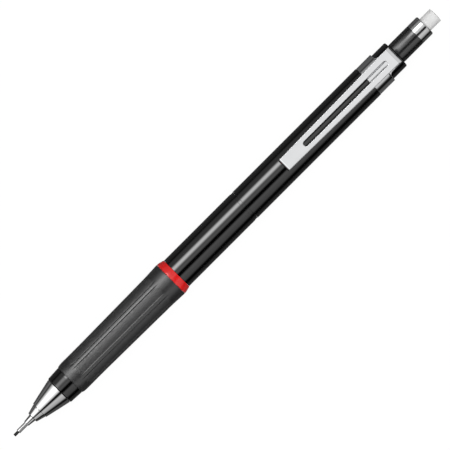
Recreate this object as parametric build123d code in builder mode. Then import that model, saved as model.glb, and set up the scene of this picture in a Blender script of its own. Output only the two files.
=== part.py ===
from build123d import *
import math
import os

# Mechanical pencil for 0.7 mm lead, lying along X with its tip at -X and its clip up.
# The origin is at mid length, at the height of the lowest point. Millimetres.

LENGTH = 145.0
AXIS_Z = 4.875  # height of the pencil's axis, the grip's largest radius

# Stations along X, from the tip to the eraser
LEAD_TIP_X = -LENGTH / 2
SLEEVE_TIP_X = -71.17
CONE_TIP_X = -68.40
CONE_STEP_1_X = -66.33
CONE_STEP_2_X = -64.07
CONE_STEP_3_X = -63.73
CONE_REAR_X = -57.12
COLLAR_FRONT_X = -57.08
COLLAR_REAR_X = -53.44
GRIP_FRONT_X = -53.36
GRIP_REAR_X = -18.70
RING_FRONT_X = -18.67
RING_REAR_X = -16.72
BARREL_FRONT_X = -16.69
GROOVE_FRONT_X = 6.09
GROOVE_REAR_X = 6.87
NECK_FRONT_X = 49.37
BAND_REAR_X = 54.24
NECK_REAR_X = 58.99
BUTTON_REAR_X = 65.57
FERRULE_REAR_X = 68.92
ERASER_END_X = LENGTH / 2

# Outside radii
LEAD_R = 0.35
SLEEVE_R = 0.554
SLEEVE_SEAT_R = 0.600  # where the sleeve is held in the nose
BARREL_R = 4.379
GROOVE_R = 4.28
NECK_R = 3.888
BUTTON_R = 2.824
BUTTON_GUIDE_R = 2.80  # inside the neck
ERASER_R = 1.94
ERASER_DOME_R = 13.5
CORE_R = 3.50
SEAT_R = 3.08
BOSS_R = 2.32
TENON_R = 3.60
TUBE_R = 2.20

# Inside radii
SLEEVE_BORE_R = 0.375
CHUCK_BORE_R = 0.38
RETAINER_BORE_R = 0.37
THREAD_BORE_R = 2.50
BOSS_BORE_R = 1.97
BARREL_BORE_R = 2.60
REAR_BORE_R = 3.10
NECK_BORE_R = 2.95
TUBE_BORE_R = 1.50
FERRULE_BORE_R = 1.97
FIT = 0.03  # radial gap between pieces that are fitted into each other

# Mechanism
CHUCK_FRONT_X = -60.40
CHUCK_REAR_X = -44.50
CHUCK_SLITS = 3
CLUTCH_FRONT_X = -59.50
CLUTCH_REAR_X = -56.70
CLUTCH_R = 1.88
HOUSING_FRONT_X = -56.60
HOUSING_REAR_X = -49.20
SPRING_FRONT_X = -55.55
SPRING_REAR_X = -46.05
SPRING_WIRE_R = 0.15
SPRING_R = 1.40
SPRING_TURNS = 8
TUBE_FRONT_X = -45.00
TUBE_REAR_X = 61.40
LEAD_LENGTH = 60.0
SPARE_FRONT_X = -20.0
SPARE_LEADS = 3

# Grip
GRIP_PANELS = 8
PANEL_ARC = 34.0
PANEL_DEPTH = 0.10

# Clip
SHEET = 0.40
BAND_R = 4.309
FOLD_R = 1.30  # outside radius of the fold
FOLD_X = 57.35
FOLD_Z = 3.93 + FOLD_R  # above the pencil's axis
FOLD_GAP = 4.0  # degrees from the fold's middle to each half
TAB_HALF = 2.50
ARM_TIP_X = 20.07
ARM_TIP_HALF = 1.795
ARM_MID_X = 45.20
ARM_MID_HALF = 2.20
ARM_SLOPE = 1.9  # degrees
LIP_R = 0.80
LIP_BOTTOM = 4.48  # above the pencil's axis
SLOT_FRONT_X = 27.22
SLOT_REAR_X = 55.87
SLOT_WIDTH = 1.32

SIDE = Plane(origin=(0, 0, AXIS_Z), x_dir=(1, 0, 0), z_dir=(0, -1, 0))
PENCIL_AXIS = Axis((0, 0, AXIS_Z), (1, 0, 0))


def across(x):
    """The plane square to the pencil at x; its own x is -Y and its own y is Z."""
    return Plane(origin=(x, 0, AXIS_Z), x_dir=(0, -1, 0), z_dir=(-1, 0, 0))


def turned(outline, rounded=()):
    """Revolve a closed outline of (x, radius) points; rounded lists (x, radius, fillet)."""
    with BuildSketch(SIDE) as profile:
        with BuildLine():
            Polyline(*outline, close=True)
        make_face()
        for x, radius, size in rounded:
            corner = profile.vertices().sort_by_distance((x, radius))[0]
            fillet(corner, size)
    revolve(profile.sketch, axis=PENCIL_AXIS)


def save(sub_part, label):
    sub_part.part.label = label
    export_step(sub_part.part, f"parts/{label}.step")


# ---- Tip ----

with BuildPart() as lead:
    turned(
        [
            (LEAD_TIP_X, 0),
            (LEAD_TIP_X, LEAD_R - 0.08),
            (LEAD_TIP_X + 0.10, LEAD_R),
            (LEAD_TIP_X + LEAD_LENGTH, LEAD_R),
            (LEAD_TIP_X + LEAD_LENGTH, 0),
        ]
    )

with BuildPart() as lead_sleeve:
    taper_front_x = -68.60
    taper_rear_x = -67.50
    sleeve_rear_x = -66.30
    turned(
        [
            (SLEEVE_TIP_X, SLEEVE_BORE_R),
            (SLEEVE_TIP_X, SLEEVE_R),
            (taper_front_x, SLEEVE_R),
            (taper_rear_x, SLEEVE_SEAT_R),
            (sleeve_rear_x, SLEEVE_SEAT_R),
            (sleeve_rear_x, SLEEVE_BORE_R),
        ],
        rounded=[(SLEEVE_TIP_X, SLEEVE_R, 0.10)],
    )

with BuildPart() as tip_cone:
    pocket_front_x = -66.22
    pocket_rear_x = -64.42
    shoulder_x = -60.30
    with BuildSketch(SIDE) as cone_profile:
        with BuildLine():
            Polyline(
                (CONE_STEP_3_X, 2.05),
                (CONE_STEP_2_X, 2.03),
                (CONE_STEP_1_X, 1.41),
                (CONE_STEP_1_X, 1.00),
                (CONE_TIP_X, 0.74),
                (CONE_TIP_X, SLEEVE_R + 0.016),
                (taper_rear_x, SLEEVE_SEAT_R + 0.008),
                (pocket_front_x, SLEEVE_SEAT_R + 0.008),
                (pocket_front_x, 1.03),
                (pocket_rear_x, 1.03),
                (pocket_rear_x, 1.60),
                (shoulder_x, 1.60),
                (shoulder_x, THREAD_BORE_R),
                (CONE_REAR_X, THREAD_BORE_R),
                (CONE_REAR_X, 3.77),
            )
            ThreePointArc((CONE_REAR_X, 3.77), (-60.41, 3.045), (CONE_STEP_3_X, 2.26))
            Line((CONE_STEP_3_X, 2.26), (CONE_STEP_3_X, 2.05))
        make_face()
        for x, radius, size in [
            (CONE_TIP_X, 0.74, 0.10),
            (CONE_STEP_1_X, 1.41, 0.30),
            (CONE_STEP_3_X, 2.26, 0.12),
            (CONE_REAR_X, 3.77, 0.06),
        ]:
            corner = cone_profile.vertices().sort_by_distance((x, radius))[0]
            fillet(corner, size)
    revolve(axis=PENCIL_AXIS)

with BuildPart() as lead_retainer:
    turned(
        [
            (-66.19, RETAINER_BORE_R),
            (-66.19, 1.00),
            (-64.45, 1.00),
            (-64.45, RETAINER_BORE_R + 0.35),
            (-64.85, RETAINER_BORE_R),
        ]
    )

# ---- Mechanism ----

with BuildPart() as chuck:
    turned(
        [
            (CHUCK_FRONT_X, CHUCK_BORE_R),
            (CHUCK_FRONT_X, 1.22),
            (CHUCK_FRONT_X + 0.20, 1.42),
            (-59.75, 1.42),
            (-59.40, 1.18),
            (-56.95, 1.16),
            (-56.70, 0.90),
            (CHUCK_REAR_X, 0.90),
            (CHUCK_REAR_X, CHUCK_BORE_R + 0.20),
            (CHUCK_REAR_X - 0.20, CHUCK_BORE_R),
        ]
    )
    with BuildSketch(across(-49.0)):
        with PolarLocations(1.0, CHUCK_SLITS, start_angle=90):
            Rectangle(2.0, 0.28)
    extrude(amount=12.0, mode=Mode.SUBTRACT)

with BuildPart() as clutch_ring:
    turned(
        [
            (CLUTCH_FRONT_X, 1.42),
            (CLUTCH_FRONT_X, CLUTCH_R),
            (CLUTCH_REAR_X, CLUTCH_R),
            (CLUTCH_REAR_X, 1.25),
            (CLUTCH_FRONT_X + 0.20, 1.25),
        ],
        rounded=[(CLUTCH_FRONT_X, CLUTCH_R, 0.10), (CLUTCH_REAR_X, CLUTCH_R, 0.10)],
    )

with BuildPart() as clutch_housing:
    spring_seat_x = -55.60
    turned(
        [
            (HOUSING_FRONT_X, 1.00),
            (HOUSING_FRONT_X, BARREL_BORE_R - FIT),
            (HOUSING_REAR_X, BARREL_BORE_R - FIT),
            (HOUSING_REAR_X, 1.90),
            (spring_seat_x, 1.90),
            (spring_seat_x, 1.00),
        ],
        rounded=[(HOUSING_REAR_X, BARREL_BORE_R - FIT, 0.20)],
    )

with BuildPart() as chuck_spring:
    coil_length = SPRING_REAR_X - SPRING_FRONT_X - 2 * SPRING_WIRE_R
    coil_start = (SPRING_FRONT_X + SPRING_WIRE_R, 0, AXIS_Z)
    with BuildLine() as coil:
        Helix(
            pitch=coil_length / SPRING_TURNS,
            height=coil_length,
            radius=SPRING_R,
            center=coil_start,
            direction=(1, 0, 0),
        )
    with BuildSketch(Plane(origin=coil.line @ 0, z_dir=coil.line % 0)):
        Circle(SPRING_WIRE_R)
    sweep(is_frenet=True)

with BuildPart() as chuck_connector:
    turned(
        [
            (-46.00, 0.90 + FIT),
            (-46.00, 1.75),
            (TUBE_FRONT_X - FIT, 1.75),
            (TUBE_FRONT_X - FIT, TUBE_BORE_R - FIT),
            (-38.00, TUBE_BORE_R - FIT),
            (-38.00, 1.20),
            (-38.80, 0.50),
            (-44.40, 0.50),
            (-44.40, 0.90 + FIT),
        ]
    )

with BuildPart() as lead_tube:
    turned(
        [
            (TUBE_FRONT_X, TUBE_BORE_R),
            (TUBE_FRONT_X, TUBE_R),
            (TUBE_REAR_X, TUBE_R),
            (TUBE_REAR_X, TUBE_BORE_R),
        ],
        rounded=[(TUBE_FRONT_X, TUBE_R, 0.15)],
    )

# The spare leads lie side by side at the bottom of the tube.
spare_lead_parts = []
for index in range(SPARE_LEADS):
    spare_angle = math.radians(38.5 * (index - (SPARE_LEADS - 1) / 2))
    spare_offset = TUBE_BORE_R - LEAD_R - FIT
    spare_across = spare_offset * math.sin(spare_angle)
    spare_down = -spare_offset * math.cos(spare_angle)
    with BuildPart() as spare_lead:
        with BuildSketch(across(SPARE_FRONT_X + 1.5 * index)):
            with Locations((spare_across, spare_down)):
                Circle(LEAD_R)
        extrude(amount=-LEAD_LENGTH)
    spare_lead_parts.append(spare_lead)

# ---- Barrel ----

with BuildPart() as front_barrel:
    boss_front_x = -60.20
    pocket_x = -56.65
    tenon_rear_x = 15.0
    turned(
        [
            (boss_front_x, BOSS_BORE_R),
            (boss_front_x, BOSS_R),
            (COLLAR_FRONT_X, BOSS_R),
            (COLLAR_FRONT_X, SEAT_R),
            (COLLAR_REAR_X + FIT, SEAT_R),
            (COLLAR_REAR_X + FIT, CORE_R),
            (BARREL_FRONT_X, CORE_R),
            (BARREL_FRONT_X, BARREL_R),
            (GROOVE_FRONT_X, BARREL_R),
            (GROOVE_FRONT_X, GROOVE_R),
            (GROOVE_REAR_X, GROOVE_R),
            (GROOVE_REAR_X, TENON_R),
            (tenon_rear_x, TENON_R),
            (tenon_rear_x, BARREL_BORE_R),
            (pocket_x, BARREL_BORE_R),
            (pocket_x, BOSS_BORE_R),
        ],
        rounded=[
            (boss_front_x, BOSS_R, 0.15),
            (BARREL_FRONT_X, BARREL_R, 0.06),
            (GROOVE_FRONT_X, BARREL_R, 0.04),
        ],
    )

with BuildPart() as nose_collar:
    turned(
        [
            (COLLAR_FRONT_X, SEAT_R + FIT),
            (COLLAR_FRONT_X, 3.94),
            (COLLAR_REAR_X, 4.14),
            (COLLAR_REAR_X, SEAT_R + FIT),
        ],
        rounded=[(COLLAR_FRONT_X, 3.94, 0.30), (COLLAR_REAR_X, 4.14, 0.10)],
    )

grip_outline = [
    (-52.10, 4.425),
    (-51.16, 4.450),
    (-46.30, 4.445),
    (-41.20, 4.496),
    (-33.60, 4.588),
    (-26.60, 4.672),
    (-22.60, 4.727),
    (-20.50, 4.805),
    (GRIP_REAR_X - 0.33, AXIS_Z),
]

with BuildPart() as grip_sleeve:
    with BuildSketch(SIDE) as grip_profile:
        with BuildLine():
            Polyline(
                (GRIP_REAR_X - 0.33, AXIS_Z),
                (GRIP_REAR_X, AXIS_Z - 0.01),
                (GRIP_REAR_X, CORE_R + FIT),
                (GRIP_FRONT_X, CORE_R + FIT),
                (GRIP_FRONT_X, 4.10),
            )
            Line((GRIP_FRONT_X, 4.10), (GRIP_FRONT_X, 4.38))
            Line((GRIP_FRONT_X, 4.38), grip_outline[0])
            Spline(*grip_outline)
        make_face()
        grip_corner = grip_profile.vertices().sort_by_distance((GRIP_FRONT_X, 4.38))[0]
        fillet(grip_corner, 0.25)
    revolve(axis=PENCIL_AXIS)
    panel_floor = [(x, radius - PANEL_DEPTH) for x, radius in grip_outline[2:7]]
    for index in range(GRIP_PANELS):
        panel_turn = 360 / GRIP_PANELS * index - PANEL_ARC / 2
        with BuildSketch(SIDE.rotated((panel_turn, 0, 0))) as panel_profile:
            with BuildLine():
                Spline((-51.40, 4.50), (-50.20, 4.36), *panel_floor, (-21.20, 4.80))
                Polyline((-21.20, 4.80), (-21.20, 5.20), (-51.40, 5.20), (-51.40, 4.50))
            make_face()
        revolve(axis=PENCIL_AXIS, revolution_arc=PANEL_ARC, mode=Mode.SUBTRACT)

with BuildPart() as accent_ring:
    with BuildSketch(SIDE):
        with BuildLine():
            Spline(
                (RING_FRONT_X, AXIS_Z - 0.015),
                (-18.06, 4.805),
                (-17.08, 4.555),
                (RING_REAR_X, 4.430),
            )
            Polyline(
                (RING_REAR_X, 4.430),
                (RING_REAR_X, CORE_R + FIT),
                (RING_FRONT_X, CORE_R + FIT),
                (RING_FRONT_X, AXIS_Z - 0.015),
            )
        make_face()
    revolve(axis=PENCIL_AXIS)

with BuildPart() as rear_barrel:
    socket_rear_x = 15.10
    neck_bore_x = 51.5
    turned(
        [
            (GROOVE_REAR_X + 0.02, TENON_R + FIT),
            (GROOVE_REAR_X + 0.02, BARREL_R),
            (NECK_FRONT_X, BARREL_R),
            (NECK_FRONT_X, NECK_R),
            (NECK_REAR_X, NECK_R),
            (NECK_REAR_X, NECK_BORE_R),
            (neck_bore_x, NECK_BORE_R),
            (neck_bore_x, REAR_BORE_R),
            (socket_rear_x, REAR_BORE_R),
            (socket_rear_x, TENON_R + FIT),
        ],
        rounded=[
            (GROOVE_REAR_X + 0.02, BARREL_R, 0.04),
            (NECK_FRONT_X, BARREL_R, 0.12),
            (NECK_REAR_X, NECK_R, 0.30),
            (NECK_REAR_X, NECK_BORE_R, 0.15),
        ],
    )

# ---- Clip ----

band_bore_r = BAND_R - SHEET
tab_end_x = 55.40
tab_base = FOLD_Z - FOLD_R
tab_outer = math.sqrt(BAND_R**2 - TAB_HALF**2)
tab_inner = math.sqrt(band_bore_r**2 - TAB_HALF**2)

with BuildPart() as clip_band:
    turned(
        [
            (NECK_FRONT_X + 0.03, band_bore_r),
            (NECK_FRONT_X + 0.03, BAND_R),
            (tab_end_x, BAND_R),
            (tab_end_x, band_bore_r),
        ],
        rounded=[(NECK_FRONT_X + 0.03, BAND_R, 0.08)],
    )
    # Everything behind the ring is cut away except the tab, with a fillet on each side.
    with BuildSketch() as tab_sides:
        with Locations((BAND_REAR_X, 0)):
            Rectangle(3.0, 12.0, align=(Align.MIN, Align.CENTER))
        with BuildLine():
            Polyline(
                (BAND_REAR_X - 1.0, -TAB_HALF),
                (BAND_REAR_X + 3.5, -TAB_HALF),
                (BAND_REAR_X + 3.5, TAB_HALF),
                (BAND_REAR_X - 1.0, TAB_HALF),
                close=True,
            )
        make_face(mode=Mode.SUBTRACT)
        inner_corners = tab_sides.vertices().filter_by_position(
            Axis.X, BAND_REAR_X - 0.01, BAND_REAR_X + 0.01
        )
        fillet(inner_corners.sort_by(Axis.Y)[1:3], 1.05)
    extrude(amount=20.0, mode=Mode.SUBTRACT)
    with BuildSketch():
        with Locations((BAND_REAR_X, 0)):
            Rectangle(3.0, 12.0, align=(Align.MIN, Align.CENTER))
    extrude(amount=AXIS_Z + 1.0, mode=Mode.SUBTRACT)
    # The tab goes from the ring's curve to the flat sheet of the fold.
    with BuildSketch(across(tab_end_x)):
        with BuildLine():
            ThreePointArc((-TAB_HALF, tab_outer), (0, BAND_R), (TAB_HALF, tab_outer))
            Line((TAB_HALF, tab_outer), (TAB_HALF, tab_inner))
            ThreePointArc((TAB_HALF, tab_inner), (0, band_bore_r), (-TAB_HALF, tab_inner))
            Line((-TAB_HALF, tab_inner), (-TAB_HALF, tab_outer))
        make_face()
    with BuildSketch(across(FOLD_X)):
        with Locations((0, tab_base + SHEET / 2)):
            Rectangle(2 * TAB_HALF, SHEET)
    loft()
    with BuildSketch(SIDE):
        with BuildLine() as lower_fold:
            CenterArc((FOLD_X, FOLD_Z), FOLD_R - SHEET / 2, -90, 90 - FOLD_GAP)
        trace(lower_fold.line, line_width=SHEET)
    extrude(amount=TAB_HALF, both=True)

with BuildPart() as clip_arm:
    arm_mid_r = FOLD_R - SHEET / 2
    lip_mid_r = LIP_R - SHEET / 2
    slope = math.radians(ARM_SLOPE)
    arm_start = (FOLD_X - arm_mid_r * math.sin(slope), FOLD_Z + arm_mid_r * math.cos(slope))
    lip_x = ARM_TIP_X + LIP_R
    arm_end_z = arm_start[1] - (arm_start[0] - lip_x) * math.tan(slope)
    lip_centre = (
        lip_x + lip_mid_r * math.sin(slope),
        arm_end_z - lip_mid_r * math.cos(slope),
    )
    with BuildSketch(SIDE):
        with BuildLine() as arm_path:
            CenterArc((FOLD_X, FOLD_Z), arm_mid_r, FOLD_GAP, 90 + ARM_SLOPE - FOLD_GAP)
            Line(arm_start, (lip_x, arm_end_z))
            CenterArc(lip_centre, lip_mid_r, 90 + ARM_SLOPE, 90 - ARM_SLOPE)
            Line((lip_centre[0] - lip_mid_r, lip_centre[1]), (lip_centre[0] - lip_mid_r, LIP_BOTTOM))
        trace(arm_path.line, line_width=SHEET)
    extrude(amount=TAB_HALF + 0.5, both=True)
    with BuildSketch():
        with BuildLine():
            Polyline(
                (ARM_TIP_X - 1.0, -ARM_TIP_HALF),
                (ARM_MID_X, -ARM_MID_HALF),
                (FOLD_X, -TAB_HALF),
                (FOLD_X + 2.0, -TAB_HALF),
                (FOLD_X + 2.0, TAB_HALF),
                (FOLD_X, TAB_HALF),
                (ARM_MID_X, ARM_MID_HALF),
                (ARM_TIP_X - 1.0, ARM_TIP_HALF),
                close=True,
            )
        make_face()
    extrude(amount=20.0, mode=Mode.INTERSECT)
    with BuildSketch():
        with Locations(((SLOT_FRONT_X + SLOT_REAR_X) / 2, 0)):
            SlotOverall(SLOT_REAR_X - SLOT_FRONT_X, SLOT_WIDTH)
    extrude(amount=20.0, mode=Mode.SUBTRACT)

# ---- Button and eraser ----

with BuildPart() as push_button:
    button_front_x = 52.60
    guide_rear_x = 58.20
    button_taper_x = 59.30
    turned(
        [
            (button_front_x, TUBE_R + FIT),
            (button_front_x, BUTTON_GUIDE_R),
            (guide_rear_x, BUTTON_GUIDE_R),
            (button_taper_x, BUTTON_R),
            (BUTTON_REAR_X, BUTTON_R),
            (BUTTON_REAR_X, TUBE_R + FIT),
        ],
        rounded=[(button_front_x, BUTTON_GUIDE_R, 0.20), (BUTTON_REAR_X, BUTTON_R, 0.02)],
    )

with BuildPart() as button_ferrule:
    turned(
        [
            (62.00, FERRULE_BORE_R),
            (62.00, TUBE_R),
            (BUTTON_REAR_X + 0.02, TUBE_R),
            (BUTTON_REAR_X + 0.02, BUTTON_R),
            (FERRULE_REAR_X, BUTTON_R),
            (FERRULE_REAR_X, FERRULE_BORE_R),
        ],
        rounded=[
            (BUTTON_REAR_X + 0.02, BUTTON_R, 0.02),
            (FERRULE_REAR_X, BUTTON_R, 0.55),
            (FERRULE_REAR_X, FERRULE_BORE_R, 0.12),
        ],
    )

with BuildPart() as eraser:
    eraser_front_x = 61.60
    dome_centre_x = ERASER_END_X - ERASER_DOME_R
    dome_arc = math.degrees(math.asin(ERASER_R / ERASER_DOME_R))
    with BuildSketch(SIDE) as eraser_profile:
        with BuildLine():
            dome = CenterArc((dome_centre_x, 0), ERASER_DOME_R, 0, dome_arc)
            Polyline(dome @ 1, (eraser_front_x, ERASER_R), (eraser_front_x, 0), dome @ 0)
        make_face()
        fillet(eraser_profile.vertices().sort_by_distance(dome @ 1)[0], 0.32)
    revolve(axis=PENCIL_AXIS)

# ---- Export ----

os.makedirs("parts", exist_ok=True)
save(lead, "lead")
save(lead_sleeve, "lead_sleeve")
save(tip_cone, "tip_cone")
save(lead_retainer, "lead_retainer")
save(chuck, "chuck")
save(clutch_ring, "clutch_ring")
save(clutch_housing, "clutch_housing")
save(chuck_spring, "chuck_spring")
save(chuck_connector, "chuck_connector")
save(lead_tube, "lead_tube")
for index, spare_lead in enumerate(spare_lead_parts):
    save(spare_lead, f"spare_lead_{index + 1}")
save(front_barrel, "front_barrel")
save(nose_collar, "nose_collar")
save(grip_sleeve, "grip_sleeve")
save(accent_ring, "accent_ring")
save(rear_barrel, "rear_barrel")
save(clip_band, "clip_band")
save(clip_arm, "clip_arm")
save(push_button, "push_button")
save(button_ferrule, "button_ferrule")
save(eraser, "eraser")
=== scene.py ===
import math

import bmesh
import bpy
from mathutils import Matrix, Vector


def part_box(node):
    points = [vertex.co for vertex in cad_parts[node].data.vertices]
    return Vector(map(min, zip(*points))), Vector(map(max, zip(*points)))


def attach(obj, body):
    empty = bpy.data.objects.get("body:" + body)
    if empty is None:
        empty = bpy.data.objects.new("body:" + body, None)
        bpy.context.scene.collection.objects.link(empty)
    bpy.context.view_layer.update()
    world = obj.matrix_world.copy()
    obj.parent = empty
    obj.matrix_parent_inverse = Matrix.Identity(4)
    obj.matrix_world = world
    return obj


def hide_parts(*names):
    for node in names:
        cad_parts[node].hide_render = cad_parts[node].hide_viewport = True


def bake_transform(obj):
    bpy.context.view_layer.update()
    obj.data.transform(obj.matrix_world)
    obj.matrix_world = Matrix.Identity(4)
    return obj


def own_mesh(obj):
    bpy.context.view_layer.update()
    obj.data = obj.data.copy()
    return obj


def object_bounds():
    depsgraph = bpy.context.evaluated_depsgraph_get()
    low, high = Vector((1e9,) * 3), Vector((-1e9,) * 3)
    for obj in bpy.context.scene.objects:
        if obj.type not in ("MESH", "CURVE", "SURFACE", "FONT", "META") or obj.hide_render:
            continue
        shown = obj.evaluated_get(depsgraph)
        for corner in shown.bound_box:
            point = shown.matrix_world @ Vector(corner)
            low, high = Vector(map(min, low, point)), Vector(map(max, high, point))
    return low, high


# Mechanical pencil along X, tip at -X, clip up. Profiles are in millimetres from the pencil's axis.

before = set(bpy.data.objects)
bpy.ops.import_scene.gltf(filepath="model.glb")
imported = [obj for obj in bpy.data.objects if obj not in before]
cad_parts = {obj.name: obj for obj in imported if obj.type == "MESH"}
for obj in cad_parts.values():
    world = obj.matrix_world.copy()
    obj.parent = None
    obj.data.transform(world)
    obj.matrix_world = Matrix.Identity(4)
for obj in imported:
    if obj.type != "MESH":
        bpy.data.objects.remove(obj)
cad_low, cad_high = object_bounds()

MM = 0.001
barrel_low, barrel_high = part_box("rear_barrel")
AXIS_Z = (barrel_low.z + barrel_high.z) / 2 / MM
SEGMENTS = 144

# Stations along X
LEAD_TIP_X = -72.50
LEAD_REAR_X = -12.50
SLEEVE_TIP_X = -71.17
SLEEVE_STEP_X = -68.60
SLEEVE_REAR_X = -66.30
CONE_TIP_X = -68.40
CONE_STEP_1_X = -66.33
CONE_STEP_2_X = -64.07
CONE_STEP_3_X = -63.86
CONE_MID_X = -60.41
CONE_REAR_X = -57.12
RETAINER_FRONT_X = -66.22
RETAINER_REAR_X = -64.42
THREAD_END_X = -60.30
BOSS_FRONT_X = -60.20
BOSS_REAR_X = -56.65
COLLAR_FRONT_X = -57.08
COLLAR_REAR_X = -53.44
GRIP_FRONT_X = -53.36
GRIP_REAR_X = -18.70
RING_FRONT_X = -18.67
RING_REAR_X = -16.72
BARREL_FRONT_X = -16.69
GROOVE_FRONT_X = 6.09
GROOVE_REAR_X = 6.87
TENON_REAR_X = 15.00
NECK_FRONT_X = 49.37
BUTTON_STOP_X = 51.50
BUTTON_FRONT_X = 52.60
BAND_REAR_X = 54.24
NECK_REAR_X = 58.86
BUTTON_GUIDE_REAR_X = 59.30
ERASER_FRONT_X = 61.60
FERRULE_FRONT_X = 62.00
BUTTON_REAR_X = 65.57
FERRULE_REAR_X = 68.86
ERASER_END_X = 72.50

# Radii
LEAD_R = 0.365
SLEEVE_R = 0.568
SLEEVE_SEAT_R = 0.575
SLEEVE_BORE_R = 0.385
CONE_BORE_R = SLEEVE_SEAT_R + 0.008
CONE_TIP_R = 0.75
CONE_NOSE_R = 1.00
CONE_STEP_1_R = 1.41
CONE_STEP_2_R = 2.03
CONE_STEP_3_R = 2.26
CONE_MID_R = 3.045
CONE_REAR_R = 3.77
RETAINER_BORE_R = 1.03
CHUCK_BORE_R = 1.60
GRIP_REAR_R = 4.875
BARREL_R = 4.379
GROOVE_R = 4.295
NECK_R = 3.888
BUTTON_R = 2.824
BUTTON_GUIDE_R = 2.80
ERASER_R = 1.94
ERASER_DOME_R = 13.5
COLLAR_FRONT_R = 3.94
COLLAR_REAR_R = 4.134
COLLAR_SHOULDER_R = 4.05
CORE_R = 3.50
SEAT_R = 3.08
BOSS_R = 2.32
BOSS_BORE_R = 1.97
TENON_R = 3.60
BARREL_BORE_R = 2.60
REAR_BORE_R = 3.10
NECK_BORE_R = 2.95
THREAD_BORE_R = 2.50
TUBE_R = 2.20
FERRULE_BORE_R = 1.97
FIT = 0.03

# Clip sheet, at mid thickness
SHEET = 0.40
BAND_MID_R = 4.109
TAB_HALF = 2.40
TAB_FILLET = 1.05
FOLD_X = 57.35
FOLD_Z = 5.23
FOLD_MID_R = 1.10
ARM_SLOPE = math.radians(1.9)
ARM_TIP_X = 20.07
ARM_TIP_HALF = 1.77
ARM_MID_X = 45.20
ARM_MID_HALF = 2.13
ARM_ROOT_HALF = 2.36
EDGE_R = 0.09
CLIP_EDGE_ANGLE = math.radians(50)  # edges sharper than this are rounded
CLIP_SHARP = math.radians(60)
ARM_CROWN = 0.02
LIP_MID_R = 0.60
LIP_BOTTOM = 4.48
SLOT_FRONT_X = 27.22
SLOT_REAR_X = 55.87
SLOT_HALF = 0.69
SLOT_SIDE_ARC = math.radians(35)
CENTRE_HALF = 0.565  # inner edge of the rows of vertices beside the slot
SHEET_COLUMNS = 6  # of faces on each side of the slot
RING_COLUMNS = 44  # of faces round the ring, apart from those in line with the tab

# Rounded corners of turned outlines
DEFAULT_ARC = 0.03
NEARLY_STRAIGHT = math.radians(176)
LONGEST_CUT = 0.45  # of the shorter neighbouring side
ARC_MARGIN = 1.1  # a point just outside each end of an arc keeps the flat sides flat

# ---- Meshes ----


def point_at(x, radius, turn):
    """A point in metres, turned from straight up towards -Y."""
    return Vector(
        (x * MM, -radius * math.sin(turn) * MM, (AXIS_Z + radius * math.cos(turn)) * MM)
    )


def new_piece(name, bm, sharp_angle=38):
    """A smooth piece, sharp where its faces meet at more than sharp_angle degrees."""
    bmesh.ops.recalc_face_normals(bm, faces=bm.faces)
    mesh = bpy.data.meshes.new(name)
    bm.to_mesh(mesh)
    bm.free()
    for polygon in mesh.polygons:
        polygon.use_smooth = True
    mesh.set_sharp_from_angle(angle=math.radians(sharp_angle))
    piece = bpy.data.objects.new(name, mesh)
    bpy.context.scene.collection.objects.link(piece)
    return piece


def rounded_outline(corners, closed=True, steps=5):
    """The outline with an arc at each corner, given as (x, radius) or (x, radius, arc radius)."""
    outline = []
    count = len(corners)
    for index, corner in enumerate(corners):
        here = Vector(corner[:2])
        size = corner[2] if len(corner) > 2 else DEFAULT_ARC
        at_end = not closed and index in (0, count - 1)
        before = Vector(corners[index - 1][:2])
        after = Vector(corners[(index + 1) % count][:2])
        if at_end or size == 0:
            outline.append(tuple(here))
            continue
        back = (before - here).normalized()
        ahead = (after - here).normalized()
        opening = back.angle(ahead)
        if opening > NEARLY_STRAIGHT:
            outline.append(tuple(here))
            continue
        cut = size / math.tan(opening / 2)
        limit = LONGEST_CUT * min((before - here).length, (after - here).length)
        if cut > limit:
            size *= limit / cut
            cut = limit
        centre = here + (back + ahead).normalized() * size / math.sin(opening / 2)
        start = here + back * cut - centre
        end = here + ahead * cut - centre
        outline.append(tuple(here + back * cut * ARC_MARGIN))
        for step in range(steps + 1):
            blend = start.lerp(end, step / steps)
            outline.append(tuple(centre + blend.normalized() * size))
        outline.append(tuple(here + ahead * cut * ARC_MARGIN))
    return outline


def arc_through(first, middle, last, steps):
    """Points on the circle through three points, the first and last included."""
    (ax, ay), (bx, by), (cx, cy) = first, middle, last
    d = 2 * (ax * (by - cy) + bx * (cy - ay) + cx * (ay - by))
    a2, b2, c2 = ax**2 + ay**2, bx**2 + by**2, cx**2 + cy**2
    ux = (a2 * (by - cy) + b2 * (cy - ay) + c2 * (ay - by)) / d
    uy = (a2 * (cx - bx) + b2 * (ax - cx) + c2 * (bx - ax)) / d
    centre = Vector((ux, uy))
    start = Vector(first) - centre
    end = Vector(last) - centre
    size = start.length
    return [
        tuple(centre + start.lerp(end, step / steps).normalized() * size)
        for step in range(steps + 1)
    ]


def smooth_through(points, steps):
    """A Catmull-Rom curve through the points."""
    vectors = [Vector(p) for p in points]
    vectors = [2 * vectors[0] - vectors[1], *vectors, 2 * vectors[-1] - vectors[-2]]
    curve = []
    for index in range(1, len(vectors) - 2):
        p0, p1, p2, p3 = vectors[index - 1 : index + 3]
        for step in range(steps):
            t = step / steps
            curve.append(
                tuple(
                    0.5
                    * (
                        2 * p1
                        + (p2 - p0) * t
                        + (2 * p0 - 5 * p1 + 4 * p2 - p3) * t**2
                        + (3 * p1 - p0 - 3 * p2 + p3) * t**3
                    )
                )
            )
    curve.append(tuple(vectors[-2]))
    return curve


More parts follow.
